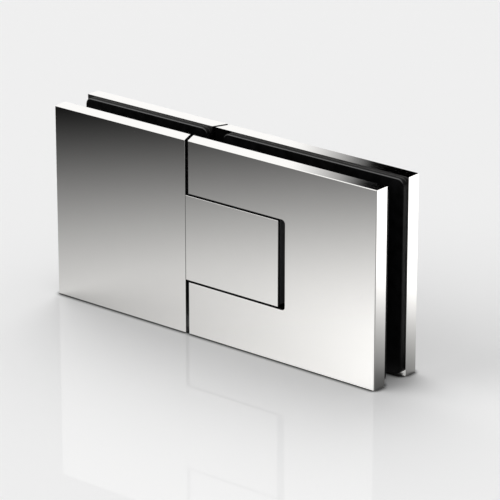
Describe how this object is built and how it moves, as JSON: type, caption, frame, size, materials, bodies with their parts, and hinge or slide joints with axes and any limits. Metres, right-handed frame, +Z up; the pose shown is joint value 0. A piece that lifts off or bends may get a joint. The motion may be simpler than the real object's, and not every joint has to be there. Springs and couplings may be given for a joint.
{
  "type": "glass door hinge",
  "caption": "Glass-to-glass door hinge: polished plates clamp each pane between rubber gaskets, and the door side swings about a pin inside the fixed side's tongue.",
  "frame": {"origin": "middle of the footprint, on the plane that the plates' lower edges stand on", "axes": "+X from the fixed leaf to the door leaf, -Y the plain front, +Z up along the pin"},
  "size_m": [0.1818, 0.0292, 0.09],
  "materials": {
    "chrome": "polished chrome plating",
    "gasket_rubber": "matt black rubber",
    "black_metal": "satin black",
    "pin_steel": "ground steel",
    "screw_steel": "stainless steel",
    "bronze": "sintered bronze",
    "washer_plastic": "black nylon"
  },
  "bodies": {
    "fixed_leaf": {"fixed_front_plate": "chrome", "fixed_back_plate": "chrome", "fixed_front_gasket": "gasket_rubber", "fixed_back_gasket": "gasket_rubber", "pivot_block": "black_metal", "tongue_front_cover": "chrome", "tongue_back_cover": "chrome", "fixed_clamp_screws": "screw_steel", "upper_bush": "bronze", "lower_bush": "bronze", "upper_thrust_washer": "washer_plastic", "lower_thrust_washer": "washer_plastic", "front_leaf_spring": "pin_steel", "back_leaf_spring": "pin_steel"},
    "door_leaf": {"door_front_plate": "chrome", "door_back_plate": "chrome", "door_front_gasket": "gasket_rubber", "door_back_gasket": "gasket_rubber", "pivot_yoke": "black_metal", "pivot_pin": "pin_steel", "pin_set_screws": "screw_steel", "door_clamp_screws": "screw_steel"}
  },
  "joints": [
    {"name": "door_swing", "type": "hinge", "parent": "fixed_leaf", "child": "door_leaf", "pos_m": [0.01065, 0, 0.045], "axis": [0, 0, 1], "range_deg": [-90, 90], "deforming": ["front_leaf_spring", "back_leaf_spring"]}
  ]
}
